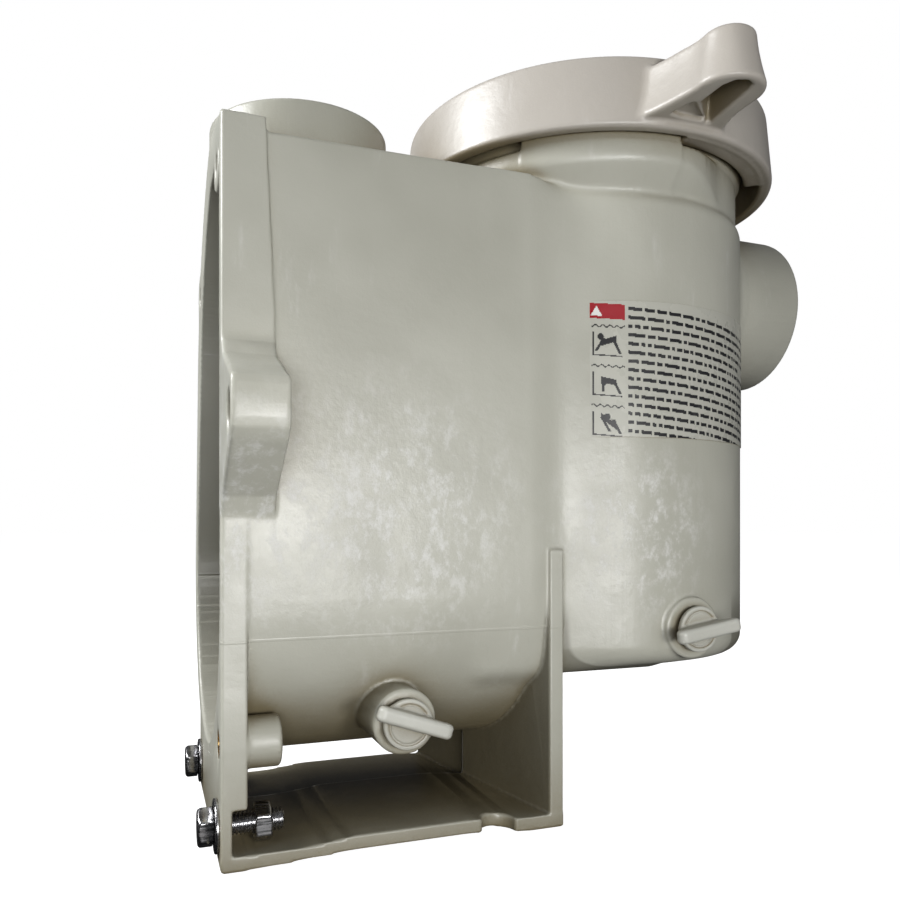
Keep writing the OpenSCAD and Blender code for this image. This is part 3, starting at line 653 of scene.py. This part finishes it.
def make_label():
    """Curved film with its print as cells of other materials; the back and the rim close it."""
    words = word_rows(random.Random(11))
    length = math.radians(LABEL_B - LABEL_A) * LABEL_R
    columns, rows = ((300, 160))
    mesh = bmesh.new()
    grids = []
    for r in (LABEL_R + LABEL_T, LABEL_R):
        grid = []
        for i in range(columns + 1):
            a = math.radians(LABEL_A + (LABEL_B - LABEL_A) * i / columns)
            x, y = POT_X + r * math.cos(a), r * math.sin(a)
            grid.append([mesh.verts.new((x * MM, y * MM, (LABEL_Z0 + (LABEL_Z1 - LABEL_Z0) * j / rows) * MM))
                         for j in range(rows + 1)])
        grids.append(grid)
    front, back = grids
    for i in range(columns):
        for j in range(rows):
            face = mesh.faces.new((front[i][j], front[i + 1][j], front[i + 1][j + 1], front[i][j + 1]))
            s = (i + 0.5) / columns * length
            down = (rows - j - 0.5) / rows
            # the lines of print run a little downhill
            z = LABEL_Z1 - down * (LABEL_Z1 - LABEL_Z0) + s * (0.06 + 0.035 * down)
            face.material_index = label_print(s, z, words)
            mesh.faces.new((back[i][j + 1], back[i + 1][j + 1], back[i + 1][j], back[i][j]))
    for i in range(columns):
        mesh.faces.new((back[i][0], back[i + 1][0], front[i + 1][0], front[i][0]))
        mesh.faces.new((front[i][rows], front[i + 1][rows], back[i + 1][rows], back[i][rows]))
    for j in range(rows):
        mesh.faces.new((back[0][j + 1], back[0][j], front[0][j], front[0][j + 1]))
        mesh.faces.new((front[-1][j + 1], front[-1][j], back[-1][j], back[-1][j + 1]))
    data = bpy.data.meshes.new("label_film")
    mesh.to_mesh(data)
    mesh.free()
    made = bpy.data.objects.new("label_film", data)
    bpy.context.scene.collection.objects.link(made)
    return made


# ---------------------------------------------------------------- materials
class Shader:
    """A Principled material under construction; patterns are read in object space, in metres."""

    def __init__(self, name, **plain):
        self.material = bpy.data.materials.new(name)
        self.material.use_nodes = True
        self.tree = self.material.node_tree
        self.bsdf = self.tree.nodes["Principled BSDF"]
        self.place = self.node("ShaderNodeTexCoord").outputs["Object"]
        for key, value in plain.items():
            self.bsdf.inputs[key.replace("_", " ")].default_value = value

    def node(self, kind, values=(), **settings):
        made = self.tree.nodes.new(kind)
        for key, value in settings.items():
            setattr(made, key, value)
        for key, value in dict(values).items():
            self.join(value, made.inputs[key])
        return made

    def join(self, value, socket):
        if isinstance(value, bpy.types.NodeSocket):
            self.tree.links.new(value, socket)
        else:
            socket.default_value = value

    def noise(self, scale, detail=4.0, rough=0.55, stretch=None):
        place = self.place
        if stretch:
            place = self.node("ShaderNodeMapping", {"Vector": place, "Scale": stretch}).outputs["Vector"]
        values = {"Vector": place, "Scale": scale, "Detail": detail, "Roughness": rough}
        return self.node("ShaderNodeTexNoise", values).outputs["Fac"]

    def level(self, value, low, high, to_low=0.0, to_high=1.0):
        """Stretches the range low to high into to_low to to_high, held at both ends."""
        keys = {"Value": value, "From Min": low, "From Max": high, "To Min": to_low, "To Max": to_high}
        return self.node("ShaderNodeMapRange", keys, interpolation_type="SMOOTHSTEP").outputs["Result"]

    def mix(self, amount, a, b):
        made = self.node("ShaderNodeMix", data_type="RGBA")
        self.join(amount, made.inputs[0])
        self.join((*a, 1) if isinstance(a, tuple) else a, made.inputs[6])
        self.join((*b, 1) if isinstance(b, tuple) else b, made.inputs[7])
        return made.outputs[2]

    def math(self, operation, a, b=0.0):
        return self.node("ShaderNodeMath", {0: a, 1: b}, operation=operation).outputs[0]

    def bump(self, height, depth, under=None):
        values = {"Height": height, "Distance": depth, "Strength": 1.0}
        if under is not None:
            values["Normal"] = under
        return self.node("ShaderNodeBump", values).outputs["Normal"]

    def done(self, colour, roughness, normal=None):
        self.join(colour, self.bsdf.inputs["Base Color"])
        self.join(roughness, self.bsdf.inputs["Roughness"])
        if normal is not None:
            self.join(normal, self.bsdf.inputs["Normal"])
        return self.material


# olive colour of the painted shade in recesses and under overhangs
OCCLUSION_SHADE = (0.125, 0.092, 0.034)
# near-white of the painted highlight along the foot's step
FLASH_HIGHLIGHT = (0.95, 0.94, 0.88)
# colour of the painted shade on the gusset's inner faces
GUSSET_SHADE = (0.050, 0.042, 0.020)
# middle and reach, in metres, of the places on the near side that handling has worn chalky, set where the front
# lamps' highlight falls: partly real wear, partly painted highlight
RUBBED_HIGHLIGHT_SPOTS = (((0.075, -0.073, 0.145), 0.075), ((0.185, -0.085, 0.135), 0.055), ((0.008, -0.073, 0.15), 0.07))


def moulding(name, light, dark, chalk, rough=(0.34, 0.52), marks=False):
    """Weathered moulded plastic: slow colour drift, chalky streaks, scuffs, painted shade in recesses, a fine skin
    and sink marks.
    """
    m = Shader(name, IOR=1.5)
    axes = m.node("ShaderNodeSeparateXYZ", {"Vector": m.place}).outputs
    drift = m.level(m.noise(9, 3), 0.35, 0.65)
    colour = m.mix(drift, light, dark)
    speck = m.level(m.noise(420, 2, 0.7), 0.60, 0.78)
    colour = m.mix(m.math("MULTIPLY", speck, 0.16), colour, dark)
    streak = m.level(m.noise(1, 6, 0.72, (70, 70, 14)), 0.56, 0.78)
    patch = m.level(m.noise(14, 4), 0.46, 0.64)
    chalky = m.math("MULTIPLY", m.math("MULTIPLY", streak, patch), 0.55)
    if marks:
        # painted highlight: chalky patches lightened where the front lamps' highlight falls, partly real wear from
        # handling
        rubbed_highlight = m.level(m.noise(1, 7, 0.8, (130, 130, 90)), 0.46, 0.66)
        for spot, reach in RUBBED_HIGHLIGHT_SPOTS:
            away = m.node("ShaderNodeVectorMath", {0: m.place, 1: spot}, operation="DISTANCE").outputs["Value"]
            near = m.level(away, reach, reach * 0.25)
            chalky = m.math("MAXIMUM", chalky, m.math("MULTIPLY", m.math("MULTIPLY", rubbed_highlight, near), 0.75))
    colour = m.mix(chalky, colour, chalk)
    scratch = m.level(m.noise(1, 3, 0.6, (900, 900, 26)), 0.69, 0.74)
    scuffs = m.math("MULTIPLY", scratch, m.level(m.noise(22, 2), 0.5, 0.66))
    colour = m.mix(m.math("MULTIPLY", scuffs, 0.35), colour, chalk)
    worn = m.level(m.node("ShaderNodeNewGeometry").outputs["Pointiness"], 0.515, 0.56)
    colour = m.mix(m.math("MULTIPLY", worn, 0.22), colour, chalk)
    # painted shade: the colour darkens towards the olive shade colour where ambient occlusion finds recesses and
    # overhangs
    occluded = m.node("ShaderNodeAmbientOcclusion", {"Distance": 0.075}, samples=6).outputs["AO"]
    colour = m.mix(m.level(occluded, 0.30, 0.90, 0.84, 0.0), colour, OCCLUSION_SHADE)
    grain = m.noise(34, 5, 0.6)
    roughness = m.level(m.math("ADD", m.math("MULTIPLY", grain, 0.8), m.math("MULTIPLY", chalky, 0.6)),
                        0.25, 0.75, *rough)
    normal = m.bump(m.noise(26, 2, 0.4), 0.0011)
    normal = m.bump(m.noise(210, 3, 0.6), 0.00016, normal)
    normal = m.bump(m.noise(1500, 2), 0.00003, normal)
    if marks:
        # parting line round the volute, and a bright line along the step where the foot's two mould halves meet:
        # partly a thin moulding fin, partly a painted highlight on the step's edge
        line = m.level(m.math("ABSOLUTE", m.math("SUBTRACT", axes["Z"], 0.092)), 0.0008, 0.0002)
        line = m.math("MULTIPLY", line, m.math("LESS_THAN", axes["X"], 0.152))
        normal = m.bump(line, 0.00011, normal)
        # painted highlight: a near-white line along the foot's step, partly standing for a thin moulding fin
        flash_highlight = m.level(m.math("ABSOLUTE", m.math("ADD", axes["Y"], 0.0006)), 0.0016, 0.0008)
        flash_highlight = m.math("MULTIPLY", flash_highlight, m.level(axes["Z"], 0.030, 0.026))
        flash_highlight = m.math("MULTIPLY", flash_highlight, m.level(m.noise(160, 3), 0.22, 0.38))
        flash_highlight = m.math("MULTIPLY", flash_highlight, m.level(axes["X"], 0.012, 0.016))
        colour = m.mix(flash_highlight, colour, FLASH_HIGHLIGHT)
        # painted shade: the gusset's inner faces are darkened, where the drum and flange shadow them
        across = m.math("ADD", axes["X"], m.math("MULTIPLY", m.math("ADD", axes["Y"], 0.0731), 0.2107))
        shade = m.math("MULTIPLY", m.level(across, 0.1445, 0.1460), m.level(axes["Y"], -0.0722, -0.0712))
        shade = m.math("MULTIPLY", shade, m.level(axes["Z"], 0.108, 0.090))
        colour = m.mix(m.math("MULTIPLY", shade, 0.5), colour, GUSSET_SHADE)
    return m.done(colour, roughness, normal)


def rubber(name):
    m = Shader(name, IOR=1.5)
    bloom = m.level(m.noise(120, 4), 0.5, 0.75)
    return m.done(m.mix(bloom, (0.012, 0.012, 0.013), (0.05, 0.048, 0.045)),
                  m.level(m.noise(300, 3), 0.3, 0.7, 0.55, 0.8), m.bump(m.noise(900, 3), 0.00004))


def hard_plastic(name, light, dark, rough, peel=0.00005):
    m = Shader(name, IOR=1.5)
    cloud = m.level(m.noise(45, 5, 0.6), 0.32, 0.68)
    fibre = m.level(m.noise(1, 3, 0.7, (240, 900, 900)), 0.6, 0.74)
    colour = m.mix(m.math("MULTIPLY", fibre, 0.3), m.mix(cloud, light, dark), light)
    return m.done(colour, m.level(m.noise(90, 4), 0.3, 0.7, *rough), m.bump(m.noise(700, 3), peel))


def clear_plastic(name):
    m = Shader(name, IOR=1.58, Transmission_Weight=0.93)
    haze = m.level(m.noise(60, 5, 0.65), 0.45, 0.72)
    return m.done(m.mix(haze, (0.50, 0.53, 0.54), (0.62, 0.64, 0.64)),
                  m.level(m.noise(180, 4), 0.35, 0.75, 0.06, 0.22), m.bump(m.noise(35, 2), 0.0002))


def metal(name, light, dark, rough, stretch):
    """Drawn or turned metal with fine marks along the grain and faint stains."""
    m = Shader(name, Metallic=1.0)
    stain = m.level(m.noise(160, 5, 0.65), 0.42, 0.7)
    grain = m.noise(1, 3, 0.6, stretch)
    roughness = m.math("ADD", m.level(grain, 0.3, 0.7, *rough), m.math("MULTIPLY", stain, 0.12))
    return m.done(m.mix(stain, light, dark), roughness, m.bump(grain, 0.00003))


def film(name, light, dark, rough):
    m = Shader(name, IOR=1.46)
    wear = m.level(m.noise(130, 5, 0.7), 0.5, 0.74)
    return m.done(m.mix(m.math("MULTIPLY", wear, 0.5), light, dark), m.level(m.noise(80, 3), 0.3, 0.7, *rough),
                  m.bump(m.noise(60, 3), 0.00012))


# by material slot of the record
MATERIALS = {
    "almond_moulding": moulding("almond", (0.455, 0.453, 0.394), (0.392, 0.389, 0.334), (0.66, 0.66, 0.64),
                                marks=True),
    "ring_moulding": moulding("almond_warm", (0.440, 0.411, 0.370), (0.412, 0.382, 0.343), (0.64, 0.62, 0.59)),
    "plug_moulding": moulding("almond_pale", (0.52, 0.52, 0.475), (0.45, 0.45, 0.405), (0.66, 0.66, 0.63)),
    "lid_clear": clear_plastic("clear_smoke"),
    "seal_rubber": rubber("black_rubber"),
    "basket_plastic": hard_plastic("pale_grey_plastic", (0.70, 0.71, 0.71), (0.60, 0.61, 0.61), (0.32, 0.5)),
    "black_moulding": hard_plastic("black_filled_plastic", (0.040, 0.040, 0.044), (0.016, 0.016, 0.018), (0.35, 0.6)),
    "rotor_plastic": hard_plastic("black_rotor_plastic", (0.030, 0.030, 0.034), (0.012, 0.012, 0.014), (0.28, 0.5)),
    "wear_plastic": hard_plastic("wear_ring_plastic", (0.60, 0.60, 0.56), (0.50, 0.50, 0.46), (0.25, 0.4)),
    "seal_ceramic": hard_plastic("white_ceramic", (0.86, 0.85, 0.80), (0.80, 0.79, 0.74), (0.05, 0.14), 0.00001),
    "insert_brass": metal("brass", (0.72, 0.50, 0.22), (0.40, 0.26, 0.11), (0.20, 0.42), (60, 900, 900)),
    "stainless": metal("stainless_bright", (0.50, 0.50, 0.51), (0.24, 0.23, 0.23), (0.14, 0.30), (60, 900, 900)),
}
# in the order of FILM, RED, INK and WHITE
LABEL_MATERIALS = [
    film("label_clear", (0.45, 0.448, 0.395), (0.405, 0.403, 0.350), (0.24, 0.38)),
    film("label_red", (0.32, 0.012, 0.020), (0.25, 0.03, 0.035), (0.25, 0.42)),
    film("label_ink", (0.018, 0.018, 0.020), (0.07, 0.07, 0.07), (0.30, 0.5)),
    film("label_white", (0.74, 0.73, 0.70), (0.66, 0.65, 0.62), (0.25, 0.42)),
]


# ---------------------------------------------------------------- assembly
def place(piece, body, replaced, slot):
    """Puts a piece on its body, in the stead of the CAD nodes it replaces."""
    for material in LABEL_MATERIALS if slot == "label_film" else [MATERIALS[slot]]:
        piece.data.materials.append(material)
    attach(piece, body)
    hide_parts(*replaced)


def build():
    blocks = [name for name in nodes if name.startswith("housing_")]
    place(make_housing(), "root", blocks, "almond_moulding")
    place(make_ring(), "ring", ["clamp_ring"], "ring_moulding")
    place(make_lid(), "lid", ["lid"], "lid_clear")
    place(make_plug("volute_plug_moulding", VOL_PLUG, 19, 2.4), "volute_plug", ["volute_drain_plug"],
          "plug_moulding")
    place(make_plug("pot_plug_moulding", POT_PLUG, -9), "pot_plug", ["pot_drain_plug"], "plug_moulding")
    for side, pos, nut_x in (("near", FOOT_BOLTS[0], 14.5), ("far", FOOT_BOLTS[1], 5.0)):
        place(bolt(side + "_bolt_threaded", pos), side + "_bolt", [side + "_foot_bolt"], "stainless")
        place(nut(side + "_nut_chamfered", pos, nut_x), side + "_nut", [side + "_foot_nut"], "stainless")
        place(washer(side + "_washer_pressed", pos), "root", [side + "_foot_washer"], "stainless")
    place(make_label(), "root", ["warning_label"], "label_film")
    slots = {part["node"]: part["material_slot"] for part in frame["record"]["subparts"]}
    for name, obj in nodes.items():
        if not obj.hide_render:
            obj.data.materials.clear()
            obj.data.materials.append(MATERIALS[slots[name]])


# ---------------------------------------------------------------- studio
def area_light(name, place_at, aim, size, power, colour):
    data = bpy.data.lights.new(name, "AREA")
    data.shape = "RECTANGLE"
    data.size, data.size_y = size
    data.energy = power
    data.color = colour
    lamp = bpy.data.objects.new(name, data)
    bpy.context.scene.collection.objects.link(lamp)
    lamp.location = place_at
    lamp.rotation_euler = (Vector(aim) - Vector(place_at)).to_track_quat("-Z", "Y").to_euler()
    return lamp


def lights():
    area_light("key", (-0.03, -0.62, 0.10), (0.04, 0.0, 0.06), (0.30, 0.18), 2.1, (1.0, 1.0, 1.0))
    area_light("glint", (0.17, -0.76, 0.125), (0.05, 0.0, 0.13), (0.10, 0.10), 1.9, (1.0, 0.995, 0.985))
    area_light("top", (-0.25, -0.75, 1.35), (0.12, 0.0, 0.25), (0.9, 0.7), 0.35, (1.0, 0.99, 0.97))
    area_light("left", (-1.15, 0.20, 0.95), (0.05, 0.0, 0.33), (0.6, 0.6), 30, (0.98, 0.99, 1.0))
    back = area_light("back", (0.12, 0.85, 1.30), (0.14, 0.0, 0.17), (0.9, 0.7), 9, (1.0, 0.99, 0.98))
    back.visible_glossy = False


def sky():
    """Faint light that grows with height, while the camera sees plain white."""
    world = bpy.data.worlds.new("studio")
    bpy.context.scene.world = world
    world.use_nodes = True
    tree = world.node_tree
    light = tree.nodes["Background"]
    light.inputs["Color"].default_value = (0.92, 0.95, 1.0, 1)
    way = tree.nodes.new("ShaderNodeSeparateXYZ")
    tree.links.new(tree.nodes.new("ShaderNodeTexCoord").outputs["Generated"], way.inputs[0])
    fall = tree.nodes.new("ShaderNodeMapRange")
    for key, value in (("From Min", -0.2), ("From Max", 0.6), ("To Min", 0.01), ("To Max", 0.108)):
        fall.inputs[key].default_value = value
    tree.links.new(way.outputs["Z"], fall.inputs["Value"])
    tree.links.new(fall.outputs["Result"], light.inputs["Strength"])
    seen = tree.nodes.new("ShaderNodeBackground")
    seen.inputs["Color"].default_value = (1, 1, 1, 1)
    path = tree.nodes.new("ShaderNodeLightPath")
    mix = tree.nodes.new("ShaderNodeMixShader")
    tree.links.new(path.outputs["Is Camera Ray"], mix.inputs[0])
    tree.links.new(light.outputs[0], mix.inputs[1])
    tree.links.new(seen.outputs[0], mix.inputs[2])
    tree.links.new(mix.outputs[0], tree.nodes["World Output"].inputs["Surface"])


def floor_plane():
    bpy.ops.mesh.primitive_circle_add(vertices=96, radius=12, fill_type="NGON", location=(0.1, 0, 0))
    floor = bpy.context.object
    floor.name = "studio_floor"
    m = Shader("pale_floor", Emission_Color=(1, 1, 1, 1), Emission_Strength=0.97)
    m.done(m.mix(m.level(m.noise(3, 3), 0.3, 0.7), (0.30, 0.30, 0.30), (0.28, 0.28, 0.28)), 0.8)
    floor.data.materials.append(m.material)
    floor.visible_diffuse = False
    floor.visible_glossy = False


def photo_camera():
    data = bpy.data.cameras.new("camera")
    data.sensor_width = 36
    data.lens = 32.44
    data.shift_x, data.shift_y = 0.0157, 0.0817
    camera = bpy.data.objects.new("camera", data)
    camera.location = (-0.0287, -0.4051, 0.1397)
    camera.rotation_euler = (math.radians(90), 0, math.radians(-19.81))
    bpy.context.scene.collection.objects.link(camera)
    bpy.context.scene.camera = camera


build()
lights()
sky()
floor_plane()
photo_camera()
bpy.context.scene.view_settings.view_transform = "Standard"
